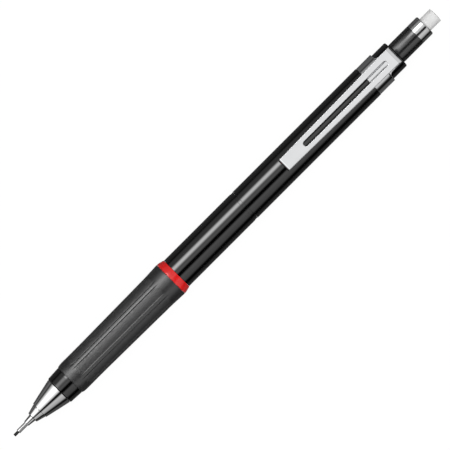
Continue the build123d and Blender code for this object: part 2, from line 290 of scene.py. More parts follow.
def turned_piece(name, outline, closed=True, segments=SEGMENTS):
    """A lathe-turned piece. An open outline starts and ends on the axis."""
    bm = bmesh.new()
    rings = []
    for x, radius in outline:
        if radius < 1e-6:
            rings.append([bm.verts.new(point_at(x, 0, 0))])
            continue
        rings.append(
            [
                bm.verts.new(point_at(x, radius, 2 * math.pi * i / segments))
                for i in range(segments)
            ]
        )
    pairs = list(zip(rings, rings[1:]))
    if closed:
        pairs.append((rings[-1], rings[0]))
    for first, second in pairs:
        for i in range(segments):
            j = (i + 1) % segments
            if len(first) == 1:
                bm.faces.new((first[0], second[i], second[j]))
            elif len(second) == 1:
                bm.faces.new((first[i], first[j], second[0]))
            else:
                bm.faces.new((first[i], first[j], second[j], second[i]))
    return new_piece(name, bm)


def coiled_piece(name, centres, wire_r, sides=14):
    """A round wire along a list of points in millimetres from the axis."""
    bm = bmesh.new()
    rings = []
    points = [Vector(c) for c in centres]
    for index, centre in enumerate(points):
        before = points[max(index - 1, 0)]
        after = points[min(index + 1, len(points) - 1)]
        along = (after - before).normalized()
        outward = Vector((0, centre.y, centre.z)).normalized()
        outward = (outward - along * outward.dot(along)).normalized()
        third = along.cross(outward)
        ring = []
        for side in range(sides):
            turn = 2 * math.pi * side / sides
            p = centre + (outward * math.cos(turn) + third * math.sin(turn)) * wire_r
            ring.append(bm.verts.new((p.x * MM, p.y * MM, (p.z + AXIS_Z) * MM)))
        rings.append(ring)
    for first, second in zip(rings, rings[1:]):
        for i in range(sides):
            j = (i + 1) % sides
            bm.faces.new((first[i], first[j], second[j], second[i]))
    bm.faces.new(rings[0])
    bm.faces.new(rings[-1])
    return new_piece(name, bm)


def baked(piece):
    """The piece's mesh with its modifiers applied."""
    bpy.context.view_layer.update()
    evaluated = piece.evaluated_get(bpy.context.evaluated_depsgraph_get())
    mesh = bpy.data.meshes.new_from_object(evaluated)
    piece.modifiers.clear()
    piece.data = mesh
    return piece


# ---- Nose ----

lead = turned_piece(
    "lead_stick",
    rounded_outline(
        [
            (LEAD_TIP_X, 0),
            (LEAD_TIP_X, LEAD_R - 0.03, 0.04),
            (LEAD_TIP_X + 0.10, LEAD_R, 0.04),
            (LEAD_REAR_X, LEAD_R, 0.04),
            (LEAD_REAR_X, 0),
        ],
        closed=False,
    ),
    closed=False,
    segments=64,
)

sleeve = turned_piece(
    "sleeve_turned",
    rounded_outline(
        [
            (SLEEVE_TIP_X, SLEEVE_BORE_R, 0.03),
            (SLEEVE_TIP_X, SLEEVE_R, 0.10),
            (SLEEVE_STEP_X, SLEEVE_R, 0),
            (SLEEVE_STEP_X + 0.05, SLEEVE_SEAT_R, 0),
            (SLEEVE_REAR_X, SLEEVE_SEAT_R),
            (SLEEVE_REAR_X, SLEEVE_BORE_R),
        ]
    ),
    segments=96,
)

cone_arc = arc_through(
    (CONE_REAR_X, CONE_REAR_R), (CONE_MID_X, CONE_MID_R), (CONE_STEP_3_X, CONE_STEP_3_R), 28
)
cone = turned_piece(
    "cone_chromed",
    rounded_outline(
        [
            (CONE_STEP_3_X, CONE_STEP_2_R + 0.01, 0.03),
            (CONE_STEP_2_X, CONE_STEP_2_R, 0.02),
            (CONE_STEP_1_X, CONE_STEP_1_R, 0.30),
            (CONE_STEP_1_X, CONE_NOSE_R, 0.03),
            (CONE_TIP_X, CONE_TIP_R, 0.10),
            (CONE_TIP_X, CONE_BORE_R, 0.02),
            (RETAINER_FRONT_X, CONE_BORE_R, 0),
            (RETAINER_FRONT_X, RETAINER_BORE_R, 0),
            (RETAINER_REAR_X, RETAINER_BORE_R, 0),
            (RETAINER_REAR_X, CHUCK_BORE_R, 0),
            (THREAD_END_X, CHUCK_BORE_R, 0),
            (THREAD_END_X, THREAD_BORE_R, 0),
            (CONE_REAR_X, THREAD_BORE_R, 0.03),
            (CONE_REAR_X, CONE_REAR_R, 0.05),
            *[(x, r, 0) for x, r in cone_arc[1:-1]],
            (CONE_STEP_3_X, CONE_STEP_3_R, 0.12),
        ]
    ),
)

# ---- Barrel ----

front_barrel = turned_piece(
    "barrel_front",
    rounded_outline(
        [
            (BOSS_FRONT_X, BOSS_BORE_R),
            (BOSS_FRONT_X, BOSS_R, 0.15),
            (COLLAR_FRONT_X, BOSS_R),
            (COLLAR_FRONT_X, SEAT_R),
            (COLLAR_REAR_X + FIT, SEAT_R),
            (COLLAR_REAR_X + FIT, CORE_R),
            (BARREL_FRONT_X, CORE_R),
            (BARREL_FRONT_X, BARREL_R, 0.06),
            (GROOVE_FRONT_X, BARREL_R, 0.07),
            (GROOVE_FRONT_X, GROOVE_R, 0.02),
            (GROOVE_REAR_X, GROOVE_R, 0),
            (GROOVE_REAR_X, TENON_R, 0),
            (TENON_REAR_X, TENON_R),
            (TENON_REAR_X, BARREL_BORE_R),
            (BOSS_REAR_X, BARREL_BORE_R, 0),
            (BOSS_REAR_X, BOSS_BORE_R, 0),
        ]
    ),
)

# The screw thread on the boss, under the tip cone
THREAD_PITCH = 0.80
THREAD_TURNS = 3.4
THREAD_STEPS = 48  # in each turn
THREAD_R = BOSS_R - 0.02
thread_points = []
for step in range(int(THREAD_TURNS * THREAD_STEPS) + 1):
    turn = 2 * math.pi * step / THREAD_STEPS
    thread_x = COLLAR_FRONT_X - 0.25 - THREAD_PITCH * step / THREAD_STEPS
    thread_points.append((thread_x, -THREAD_R * math.sin(turn), THREAD_R * math.cos(turn)))
thread = coiled_piece("boss_thread", thread_points, 0.16, sides=8)

collar = turned_piece(
    "collar_moulded",
    rounded_outline(
        [
            (COLLAR_FRONT_X, SEAT_R + FIT),
            (COLLAR_FRONT_X, COLLAR_FRONT_R, 0.30),
            (COLLAR_REAR_X - 0.48, 4.1136, 0),
            (COLLAR_REAR_X - 0.40, 4.118, 0),
            (COLLAR_REAR_X, COLLAR_REAR_R, 0.07),
            (COLLAR_REAR_X, COLLAR_SHOULDER_R, 0.02),
            (GRIP_FRONT_X - 0.005, COLLAR_SHOULDER_R, 0),
            (GRIP_FRONT_X - 0.005, SEAT_R + FIT, 0),
        ]
    ),
)

ring_curve = smooth_through(
    [
        (RING_FRONT_X, GRIP_REAR_R - 0.015),
        (-18.06, 4.805),
        (-17.08, 4.555),
        (RING_REAR_X, 4.430),
    ],
    6,
)
accent_ring = turned_piece(
    "ring_red",
    rounded_outline(
        [
            (*ring_curve[0], 0.02),
            *[(x, r, 0) for x, r in ring_curve[1:-1]],
            (*ring_curve[-1], 0.02),
            (RING_REAR_X, CORE_R + FIT),
            (RING_FRONT_X, CORE_R + FIT),
        ]
    ),
)

rear_barrel = turned_piece(
    "barrel_rear",
    rounded_outline(
        [
            (GROOVE_REAR_X + 0.02, TENON_R + FIT),
            (GROOVE_REAR_X + 0.02, BARREL_R, 0.07),
            (NECK_FRONT_X, BARREL_R, 0.12),
            (NECK_FRONT_X, NECK_R, 0.03),
            (NECK_REAR_X, NECK_R, 0.42),
            (NECK_REAR_X, NECK_BORE_R, 0.12),
            (BUTTON_STOP_X, NECK_BORE_R),
            (BUTTON_STOP_X, REAR_BORE_R),
            (TENON_REAR_X + 0.10, REAR_BORE_R),
            (TENON_REAR_X + 0.10, TENON_R + FIT),
        ]
    ),
)

# ---- Grip ----

GRIP_PANELS = 8
PANEL_HALF = 16.6  # degrees
PANEL_FRONT_X = -51.15
PANEL_REAR_X = -21.85
PANEL_CORNER_R = 0.75
WALL_HALF = 0.118  # half the width of a rib's side
RIB_HEIGHT = 0.095
PANEL_DEPTH = 0.02
RIB_FADE = 1.8  # a rib rises over one and a half times this length
PANEL_END_STRETCH = 2.4  # the panels' ends are this much softer than their sides
GRIP_FRONT_ROUND = 0.10
GRIP_FLARE_X = GRIP_REAR_X - 0.33
grip_outline = smooth_through(
    [
        (GRIP_FRONT_X + GRIP_FRONT_ROUND, 4.225),
        (-53.10, 4.290),
        (-52.87, 4.345),
        (-52.50, 4.400),
        (-52.10, 4.425),
        (-51.16, 4.450),
        (-46.30, 4.445),
        (-41.20, 4.496),
        (-33.60, 4.588),
        (-26.60, 4.672),
        (-22.60, 4.727),
        (-20.50, 4.805),
        (GRIP_FLARE_X, GRIP_REAR_R),
    ],
    24,
)


def outline_radius(outline, x):
    """The outline's radius at x."""
    for (x0, r0), (x1, r1) in zip(outline, outline[1:]):
        if x0 <= x <= x1:
            return r0 + (r1 - r0) * (x - x0) / max(x1 - x0, 1e-9)
    return outline[0][1] if x < outline[0][0] else outline[-1][1]


def ramp(value, low, high):
    """A smooth step from 0 at low to 1 at high."""
    t = min(max((value - low) / (high - low), 0.0), 1.0)
    return t * t * (3 - 2 * t)


def outside_panel(x, degrees, radius):
    """Distance in millimetres outside the nearest panel: past its side, and past its outline."""
    step = 360 / GRIP_PANELS
    off = abs((degrees + step / 2) % step - step / 2)
    side = math.radians(off - PANEL_HALF) * radius
    past_end = abs(x - (PANEL_REAR_X + PANEL_FRONT_X) / 2) - (PANEL_REAR_X - PANEL_FRONT_X) / 2
    across = side + PANEL_CORNER_R
    along = past_end / PANEL_END_STRETCH + PANEL_CORNER_R
    corner = math.hypot(max(across, 0), max(along, 0))
    return side, corner + min(max(across, along), 0) - PANEL_CORNER_R


def grip_mesh():
    """Raised ribs between stippled panels. The layers "panel" and "rib" tell the rubber where."""
    bm = bmesh.new()
    half_sector = [0, 3, 6, 8, 10, 11, 12, 13, 14, 14.8, 15.4, 15.8, 16.2, 16.6, 17.0, 17.4]
    half_sector += [17.8, 18.2, 18.8, 20, 21.2, 22.5]
    angles = []
    for index in range(GRIP_PANELS):
        centre = 360 / GRIP_PANELS * index
        angles += [centre - a for a in reversed(half_sector[1:-1])]
        angles += [centre + a for a in half_sector]
    angles = sorted(a % 360 for a in angles)
    stations = [GRIP_FRONT_X + GRIP_FRONT_ROUND + 0.12 * i for i in range(16)]
    stations += [-51.42 + 0.09 * i for i in range(16)]
    stations += [-49.9 + 0.6 * i for i in range(45)]
    stations += [-23.1 + 0.09 * i for i in range(18)]
    stations += [-21.4 + 0.2 * i for i in range(12)]
    stations = sorted(s for s in set(stations) if s <= GRIP_FLARE_X)
    panel_layer = bm.verts.layers.float.new("panel")
    rib_layer = bm.verts.layers.float.new("rib")
    rings = [(GRIP_FRONT_X, CORE_R + FIT, False), (GRIP_FRONT_X, 4.12, False)]
    for step in range(5):
        turn = math.pi / 2 * step / 5
        rings.append(
            (
                GRIP_FRONT_X + GRIP_FRONT_ROUND * (1 - math.cos(turn)),
                4.125 + GRIP_FRONT_ROUND * math.sin(turn),
                False,
            )
        )
    rings += [(x, outline_radius(grip_outline, x), True) for x in stations]
    rings += [
        (GRIP_REAR_X - 0.12, GRIP_REAR_R, False),
        (GRIP_REAR_X - 0.03, GRIP_REAR_R - 0.02, False),
        (GRIP_REAR_X, GRIP_REAR_R - 0.06, False),
        (GRIP_REAR_X, CORE_R + FIT, False),
    ]
    made = []
    for x, radius, has_ribs in rings:
        ring = []
        zone = ramp(x, PANEL_FRONT_X - RIB_FADE / 2, PANEL_FRONT_X + RIB_FADE)
        zone *= 1 - ramp(x, PANEL_REAR_X - RIB_FADE, PANEL_REAR_X + RIB_FADE / 2)
        for angle in angles:
            side, out = outside_panel(x, angle, radius)
            wall = min(max((side + WALL_HALF) / (2 * WALL_HALF), 0.0), 1.0)
            rib = zone * (RIB_HEIGHT * wall - PANEL_DEPTH * (1 - wall)) if has_ribs else 0.0
            vert = bm.verts.new(point_at(x, radius + rib, math.radians(angle)))
            vert[panel_layer] = 1 - ramp(out, -0.28, -0.14) if has_ribs else 0.0
            vert[rib_layer] = zone if has_ribs else 0.0
            ring.append(vert)
        made.append(ring)
    made.append(made[0])
    count = len(angles)
    for first, second in zip(made, made[1:]):
        for i in range(count):
            j = (i + 1) % count
            bm.faces.new((first[i], first[j], second[j], second[i]))
    return new_piece("grip_moulded", bm, 55)


grip = grip_mesh()

# ---- Clip ----


def arm_half(x):
    """Half the arm's width at x."""
    if x < ARM_MID_X:
        share = (x - ARM_TIP_X) / (ARM_MID_X - ARM_TIP_X)
        return ARM_TIP_HALF + (ARM_MID_HALF - ARM_TIP_HALF) * share
    share = min((x - ARM_MID_X) / (FOLD_X - ARM_MID_X), 1)
    return ARM_MID_HALF + (ARM_ROOT_HALF - ARM_MID_HALF) * share


def slot_half(x):
    """Half the slot's width at x, between the tips of its round ends."""
    front_centre = SLOT_FRONT_X + SLOT_HALF
    rear_centre = SLOT_REAR_X - SLOT_HALF
    off = max(front_centre - x, x - rear_centre, 0)
    return math.sqrt(max(SLOT_HALF**2 - off**2, 0))


def tab_outline():
    """(x, half width) behind the ring, where the fillets run into the tab."""
    outline = []
    for step in range(1, 11):
        turn = math.pi + math.pi / 2 * step / 10
        x = BAND_REAR_X + TAB_FILLET + TAB_FILLET * math.cos(turn)
        outline.append((x, TAB_HALF + TAB_FILLET + TAB_FILLET * math.sin(turn)))
    tab_end = outline[-1][0]
    outline += [(tab_end + (FOLD_X - tab_end) * step / 10, TAB_HALF) for step in range(1, 10)]
    return outline


def ring_rows(vertex, spread):
    """The ring's rows of vertices, front to back, and its last row under the tab."""
    wide = TAB_HALF + TAB_FILLET
    tab_turns = [math.asin((CENTRE_HALF + (wide - CENTRE_HALF) * s) / BAND_MID_R) for s in spread]
    turns = [-t for t in reversed(tab_turns)] + tab_turns
    span = 2 * math.pi - 2 * turns[-1]
    turns += [turns[-1] + span * i / RING_COLUMNS for i in range(1, RING_COLUMNS)]
    front = NECK_FRONT_X + 0.03
    made = []
    for i in range(9):
        x = front + (BAND_REAR_X - front) * i / 8
        made.append(
            [vertex(x, -BAND_MID_R * math.sin(t), BAND_MID_R * math.cos(t)) for t in turns]
        )
    count = len(spread)
    return made, (made[-1][:count], made[-1][count : 2 * count])


def clip_mesh():
    """The clip's sheet at mid thickness, then given its thickness and rounded edges."""
    spread = [i / SHEET_COLUMNS for i in range(SHEET_COLUMNS + 1)]
    bm = bmesh.new()

    def vertex(x, y, z):
        return bm.verts.new((x * MM, y * MM, (AXIS_Z + z) * MM))

    def row(place, half, inner=CENTRE_HALF):
        """Vertices from +Y inwards and from the inner edge out to -Y."""
        reach = [inner + (half - inner) * s for s in spread]
        left = [vertex(*place(y)) for y in reversed(reach)]
        right = [vertex(*place(-y)) for y in reach]
        return left, right

    def join(first, second, centre):
        """Faces from row to row. The middle face takes in centre, and None leaves it out."""
        for side in (0, 1):
            for i in range(SHEET_COLUMNS):
                bm.faces.new(
                    (first[side][i], first[side][i + 1], second[side][i + 1], second[side][i])
                )
        if centre is not None:
            bm.faces.new((first[0][-1], second[0][-1], *centre, second[1][0], first[1][0]))

    rings, edge_row = ring_rows(vertex, spread)
    for first, second in zip(rings, rings[1:]):
        for i in range(len(first)):
            j = (i + 1) % len(first)
            bm.faces.new((first[i], first[j], second[j], second[i]))
    rows = [edge_row]

    # The tab, from the ring's curve to flat
    flat_z = FOLD_Z - FOLD_MID_R
    for x, half in tab_outline():
        flat = ramp(x, BAND_REAR_X, FOLD_X)

        def on_tab(y, x=x, flat=flat):
            curved = math.sqrt(BAND_MID_R**2 - y**2)
            return x, y, curved * (1 - flat) + flat_z * flat

        rows.append(row(on_tab, half))

    # The fold
    fold_steps = 36
    fold_sweep = math.pi + ARM_SLOPE
    for step in range(fold_steps + 1):
        turn = -math.pi / 2 + fold_sweep * step / fold_steps
        x = FOLD_X + FOLD_MID_R * math.cos(turn)
        z = FOLD_Z + FOLD_MID_R * math.sin(turn)
        crown = ARM_CROWN * ramp(turn, 0, fold_sweep - math.pi / 2)

        def on_fold(y, x=x, z=z, crown=crown):
            return x, y, z - crown * (y / TAB_HALF) ** 2

        narrow = ramp(turn, math.radians(66), math.radians(76))
        rows.append(row(on_fold, TAB_HALF + (ARM_ROOT_HALF - TAB_HALF) * narrow))

    # The arm
    arm_x = FOLD_X - FOLD_MID_R * math.sin(ARM_SLOPE)
    arm_z = FOLD_Z + FOLD_MID_R * math.cos(ARM_SLOPE)
    lip_x = ARM_TIP_X + LIP_MID_R + SHEET / 2

    def on_arm(x, y):
        z = arm_z - (arm_x - x) * math.tan(ARM_SLOPE)
        return x, y, z - ARM_CROWN * (y / arm_half(x)) ** 2

    def arm_row(x, inner=CENTRE_HALF):
        return row(lambda y: on_arm(x, y), arm_half(x), inner)

    def slot_end(centre_x, direction):
        """The round end of the slot, from +Y to -Y."""
        arc = []
        for step in range(1, 14):
            turn = SLOT_SIDE_ARC + (math.pi - 2 * SLOT_SIDE_ARC) * step / 14
            x = centre_x + direction * SLOT_HALF * math.sin(turn)
            arc.append(vertex(*on_arm(x, SLOT_HALF * math.cos(turn))))
        return arc

    for x in (arm_x - 0.35, arm_x - 0.8, SLOT_REAR_X + 0.3):
        rows.append(arm_row(x))
    closed_rows = len(rows)
    rear_centre = SLOT_REAR_X - SLOT_HALF
    front_centre = SLOT_FRONT_X + SLOT_HALF
    side_turns = [SLOT_SIDE_ARC * i / 4 for i in range(5)]
    stations = [rear_centre + SLOT_HALF * math.sin(t) for t in reversed(side_turns)]
    stations += [rear_centre + (front_centre - rear_centre) * i / 30 for i in range(1, 30)]
    stations += [front_centre - SLOT_HALF * math.sin(t) for t in side_turns]
    rows += [arm_row(x, slot_half(x)) for x in stations]
    open_rows = len(rows)
    front_x = SLOT_FRONT_X - 0.3
    rows += [arm_row(front_x - (front_x - lip_x) * i / 8) for i in range(9)]

    # The lip, turned down at the arm's end
    lip_centre_x = lip_x + LIP_MID_R * math.sin(ARM_SLOPE)
    lip_centre_z = on_arm(lip_x, 0)[2] - LIP_MID_R * math.cos(ARM_SLOPE)
    for step in range(1, 9):
        turn = math.pi / 2 + ARM_SLOPE + (math.pi / 2 - ARM_SLOPE) * step / 8
        x = lip_centre_x + LIP_MID_R * math.cos(turn)
        z = lip_centre_z + LIP_MID_R * math.sin(turn)
        half = arm_half(x)

        def on_lip(y, x=x, z=z, half=half):
            return x, y, z - ARM_CROWN * (y / half) ** 2

        rows.append(row(on_lip, half))
    low_x = lip_centre_x - LIP_MID_R

    def on_lip_end(y):
        return low_x, y, LIP_BOTTOM

    rows.append(row(on_lip_end, ARM_TIP_HALF))

    for index, (first, second) in enumerate(zip(rows, rows[1:]), start=1):
        if index == closed_rows:
            join(first, second, slot_end(rear_centre, 1))
        elif index == open_rows:
            join(second, first, slot_end(front_centre, -1))
        elif closed_rows < index < open_rows:
            join(first, second, None)
        else:
            join(first, second, [])
    piece = new_piece("clip_formed", bm, 180)
    solid = piece.modifiers.new("thickness", "SOLIDIFY")
    solid.thickness = SHEET * MM
    solid.offset = 0
    solid.use_even_offset = True
    bevel = piece.modifiers.new("edges", "BEVEL")
    bevel.width = EDGE_R * MM
    bevel.segments = 5
    bevel.limit_method = "ANGLE"
    bevel.angle_limit = CLIP_EDGE_ANGLE
    bevel.use_clamp_overlap = False
    # The bevel marks its faces with the second material, which becomes the layer "edge"
    for name in ("sheet_face", "sheet_edge"):
        piece.data.materials.append(bpy.data.materials.new(name))
    bevel.material = 1
    piece = baked(piece)
    edge = piece.data.attributes.new("edge", "FLOAT", "FACE")
    for face in piece.data.polygons:
        edge.data[face.index].value = face.material_index
        face.material_index = 0
        face.use_smooth = True
    piece.data.materials.clear()
    piece.data.set_sharp_from_angle(angle=CLIP_SHARP)
    return piece


clip = clip_mesh()

# ---- Button, ferrule and eraser ----

button = turned_piece(
    "button_moulded",
    rounded_outline(
        [
            (BUTTON_FRONT_X, TUBE_R + FIT),
            (BUTTON_FRONT_X, BUTTON_GUIDE_R, 0.20),
            (BUTTON_GUIDE_REAR_X, BUTTON_GUIDE_R, 0),
            (BUTTON_GUIDE_REAR_X + 0.05, BUTTON_R, 0),
            (BUTTON_REAR_X, BUTTON_R, 0.04),
            (BUTTON_REAR_X, TUBE_R + FIT),
        ]
    ),
)

ferrule = turned_piece(
    "ferrule_chromed",
    rounded_outline(
        [
            (FERRULE_FRONT_X, FERRULE_BORE_R),
            (FERRULE_FRONT_X, TUBE_R, 0),
            (BUTTON_REAR_X + 0.02, TUBE_R, 0),
            (BUTTON_REAR_X + 0.02, BUTTON_R, 0.04),
            (FERRULE_REAR_X, BUTTON_R, 0.72),
            (FERRULE_REAR_X, FERRULE_BORE_R, 0.12),
        ],
        steps=9,
    ),
)

dome_centre = ERASER_END_X - ERASER_DOME_R
dome_reach = math.asin(ERASER_R / ERASER_DOME_R)
dome_points = [
    (
        dome_centre + ERASER_DOME_R * math.cos(dome_reach * i / 10),
        ERASER_DOME_R * math.sin(dome_reach * i / 10),
        0,
    )
    for i in range(10)
]
eraser = turned_piece(
    "eraser_moulded",
    rounded_outline(
        [
            *dome_points,
            (dome_centre + ERASER_DOME_R * math.cos(dome_reach), ERASER_R, 0.62),
            (ERASER_FRONT_X, ERASER_R),
            (ERASER_FRONT_X, 0),
        ],
        closed=False,
        steps=8,
    ),
    closed=False,
)

# ---- Spring ----

SPRING_FRONT_X = -55.55
SPRING_REAR_X = -46.05
SPRING_R = 1.40
SPRING_WIRE_R = 0.15
SPRING_TURNS = 9.0
SPRING_STEPS = 40  # in each turn
spring_points = []
first_x = SPRING_FRONT_X + SPRING_WIRE_R
last_x = SPRING_REAR_X - SPRING_WIRE_R
closed_pitch = 2.2 * SPRING_WIRE_R  # of the turn at each end
for step in range(int(SPRING_TURNS * SPRING_STEPS) + 1):
    turn = 2 * math.pi * step / SPRING_STEPS
    turns_done = step / SPRING_STEPS
    if turns_done < 1:
        spring_x = first_x + closed_pitch * turns_done
    elif turns_done > SPRING_TURNS - 1:
        spring_x = last_x - closed_pitch * (SPRING_TURNS - turns_done)
    else:
        share = (turns_done - 1) / (SPRING_TURNS - 2)
        spring_x = first_x + closed_pitch + (last_x - first_x - 2 * closed_pitch) * share
    spring_points.append((spring_x, -SPRING_R * math.sin(turn), SPRING_R * math.cos(turn)))
spring = coiled_piece("spring_coiled", spring_points, SPRING_WIRE_R)

# ---- Materials ----


class Surface:
    """A procedural material: one Principled shader fed by noise in the pencil's own frame."""

    def __init__(self, name, metallic=0.0, ior=1.5):
        self.material = bpy.data.materials.new(name)
        self.material.use_nodes = True
        self.nodes = self.material.node_tree.nodes
        self.links = self.material.node_tree.links
        self.shader = self.nodes["Principled BSDF"]
        self.shader.inputs["Metallic"].default_value = metallic
        self.shader.inputs["IOR"].default_value = ior
        self.coordinates = self.nodes.new("ShaderNodeTexCoord")
        self.normal = None

    def noise(self, grain, detail=3.0, stretch=(1, 1, 1)):
        """Noise whose features are about grain millimetres across."""
        mapping = self.nodes.new("ShaderNodeMapping")
        mapping.inputs["Scale"].default_value = stretch
        self.links.new(self.coordinates.outputs["Object"], mapping.inputs["Vector"])
        texture = self.nodes.new("ShaderNodeTexNoise")
        texture.inputs["Scale"].default_value = 1 / (grain * MM)
        texture.inputs["Detail"].default_value = detail
        self.links.new(mapping.outputs["Vector"], texture.inputs["Vector"])
        return texture.outputs["Fac"]

    def between(self, noise, low, high):
        """A number from low to high, as the noise goes over its usual range."""
        node = self.nodes.new("ShaderNodeMapRange")
        node.interpolation_type = "SMOOTHSTEP"
        node.inputs["From Min"].default_value = 0.3
        node.inputs["From Max"].default_value = 0.7
        node.inputs["To Min"].default_value = low
        node.inputs["To Max"].default_value = high
        self.links.new(noise, node.inputs["Value"])
        return node.outputs["Result"]

    def mix_colours(self, factor, first, second):
        node = self.nodes.new("ShaderNodeMix")
        node.data_type = "RGBA"
        self.links.new(factor, node.inputs["Factor"])
        for socket, colour in ((node.inputs["A"], first), (node.inputs["B"], second)):
            if hasattr(colour, "is_linked"):
                self.links.new(colour, socket)
            else:
                socket.default_value = (*colour, 1)
        return node.outputs["Result"]

    def mix_numbers(self, factor, first, second):
        node = self.nodes.new("ShaderNodeMix")
        node.data_type = "FLOAT"
        self.links.new(factor, node.inputs["Factor"])
        self.links.new(first, node.inputs["A"])
        self.links.new(second, node.inputs["B"])
        return node.outputs["Result"]

    def attribute(self, name):
        """A number kept on the piece's mesh."""
        node = self.nodes.new("ShaderNodeAttribute")
        node.attribute_name = name
        return node.outputs["Fac"]

    def multiply(self, first, second):
        node = self.nodes.new("ShaderNodeMath")
        node.operation = "MULTIPLY"
        self.links.new(first, node.inputs[0])
        self.links.new(second, node.inputs[1])
        return node.outputs["Value"]

    def colour(self, value):
        self.links.new(value, self.shader.inputs["Base Color"])

    def roughness(self, value):
        self.links.new(value, self.shader.inputs["Roughness"])

    def bump(self, height, depth, strength):
        """Bumps depth millimetres high."""
        node = self.nodes.new("ShaderNodeBump")
        node.inputs["Strength"].default_value = strength
        node.inputs["Distance"].default_value = depth * MM
        self.links.new(height, node.inputs["Height"])
        if self.normal is not None:
            self.links.new(self.normal, node.inputs["Normal"])
        self.normal = node.outputs["Normal"]
        self.links.new(self.normal, self.shader.inputs["Normal"])


def gloss_black():
    s = Surface("gloss_black", ior=1.57)
    s.colour(s.mix_colours(s.noise(6.0), (0.0003, 0.0003, 0.0004), (0.0009, 0.0009, 0.0010)))
    s.roughness(s.between(s.noise(2.5, 5.0), 0.030, 0.055))
    s.bump(s.noise(0.9, 1.0), 0.0006, 0.4)
    return s.material


def polished_metal(name, dark, light, rough):
    """Bright metal with the fine rings left by turning and polishing."""
    s = Surface(name, metallic=1.0)
    cloud = s.noise(3.0, 4.0)
    s.colour(s.mix_colours(cloud, dark, light))
    s.roughness(s.between(s.noise(1.2, 5.0, (1, 0.15, 0.15)), rough * 0.75, rough * 1.3))
    s.bump(s.noise(0.05, 2.0, (1, 0.02, 0.02)), 0.0004, 0.5)
    return s.material


def satin_sheet():
    """Spring steel, faintly brushed along the clip, and rougher on its cut edges."""
    s = Surface("clip_steel", metallic=1.0)
    s.colour(s.mix_colours(s.noise(2.2, 5.0), (0.52, 0.524, 0.53), (0.575, 0.578, 0.585)))
    lines = s.noise(0.08, 3.0, (0.03, 1, 1))
    s.roughness(
        s.mix_numbers(
            s.attribute("edge"), s.between(lines, 0.045, 0.065), s.between(lines, 0.30, 0.36)
        )
    )
    s.bump(lines, 0.0001, 0.4)
    return s.material


def grip_rubber():
    """Smooth dark rubber, with stippled panels."""
    s = Surface("grip_rubber", ior=1.66)
    panel = s.attribute("panel")
    grain = s.noise(0.38, 2.0)
    land_colour = s.mix_colours(s.noise(1.5, 4.0), (0.009, 0.009, 0.0093), (0.012, 0.012, 0.0123))
    panel_colour = s.mix_colours(grain, (0.007, 0.007, 0.0073), (0.031, 0.031, 0.0313))
    s.colour(s.mix_colours(panel, land_colour, panel_colour))
    cloud = s.noise(0.8, 4.0)
    land_rough = s.mix_numbers(
        s.attribute("rib"), s.between(cloud, 0.365, 0.385), s.between(cloud, 0.265, 0.285)
    )
    panel_rough = s.between(grain, 0.38, 0.50)
    s.roughness(s.mix_numbers(panel, land_rough, panel_rough))
    s.bump(s.multiply(grain, panel), 0.070, 0.8)
    s.bump(s.noise(0.08, 2.0), 0.0008, 0.5)
    return s.material


def red_ring():
    s = Surface("accent_red")
    s.shader.inputs["Specular IOR Level"].default_value = 0.42
    s.colour(s.mix_colours(s.noise(2.5, 3.0), (0.74, 0.013, 0.013), (0.80, 0.018, 0.018)))
    s.roughness(s.between(s.noise(0.9, 3.0), 0.11, 0.14))
    s.bump(s.noise(0.10, 2.0), 0.0003, 0.5)
    return s.material


def button_black():
    s = Surface("button_black", ior=1.68)
    s.colour(s.mix_colours(s.noise(1.6, 4.0), (0.001, 0.001, 0.0011), (0.004, 0.004, 0.0042)))
    s.roughness(s.between(s.noise(0.5, 4.0), 0.20, 0.25))
    s.bump(s.noise(0.07, 2.0), 0.0010, 0.6)
    return s.material


def eraser_white():
    s = Surface("eraser_white")
    s.colour(s.mix_colours(s.noise(0.9, 5.0), (0.795, 0.795, 0.79), (0.820, 0.820, 0.818)))
    s.roughness(s.between(s.noise(0.4, 4.0), 0.50, 0.68))
    s.bump(s.noise(0.14, 3.0), 0.0010, 0.5)
    return s.material


def graphite():
    s = Surface("graphite_lead")
    s.shader.inputs["Specular IOR Level"].default_value = 0.25
    s.colour(s.mix_colours(s.noise(0.12, 4.0), (0.001, 0.001, 0.0011), (0.006, 0.006, 0.0063)))
    s.roughness(s.between(s.noise(0.08, 4.0), 0.32, 0.50))
    s.bump(s.noise(0.05, 3.0, (0.3, 1, 1)), 0.004, 0.6)
    return s.material


def clear_tube():
    s = Surface("tube_frosted")
    s.colour(s.mix_colours(s.noise(4.0, 3.0), (0.70, 0.72, 0.73), (0.80, 0.81, 0.82)))
    s.roughness(s.between(s.noise(1.0, 4.0), 0.22, 0.36))
    s.shader.inputs["Transmission Weight"].default_value = 0.55
    s.bump(s.noise(0.5, 2.0), 0.002, 0.5)
    return s.material


def retainer_rubber():
    s = Surface("retainer_rubber")
    s.colour(s.mix_colours(s.noise(0.3, 3.0), (0.020, 0.020, 0.020), (0.040, 0.040, 0.040)))
    s.roughness(s.between(s.noise(0.2, 3.0), 0.55, 0.75))
    s.bump(s.noise(0.06, 2.0), 0.003, 0.6)
    return s.material


black = gloss_black()
nose_chrome = polished_metal("nose_chrome", (0.36, 0.36, 0.36), (0.41, 0.41, 0.41), 0.07)
ferrule_chrome = polished_metal("ferrule_chrome", (0.40, 0.40, 0.40), (0.45, 0.45, 0.45), 0.13)
sleeve_steel = polished_metal("sleeve_steel", (0.29, 0.29, 0.29), (0.35, 0.35, 0.35), 0.28)
brass = polished_metal("brass", (0.66, 0.43, 0.17), (0.76, 0.52, 0.23), 0.18)
spring_steel = polished_metal("spring_steel", (0.50, 0.50, 0.51), (0.60, 0.60, 0.61), 0.20)
clip_steel = satin_sheet()
rubber = grip_rubber()
red = red_ring()
button_plastic = button_black()
eraser_vinyl = eraser_white()
lead_graphite = graphite()
tube_plastic = clear_tube()
retainer_black = retainer_rubber()

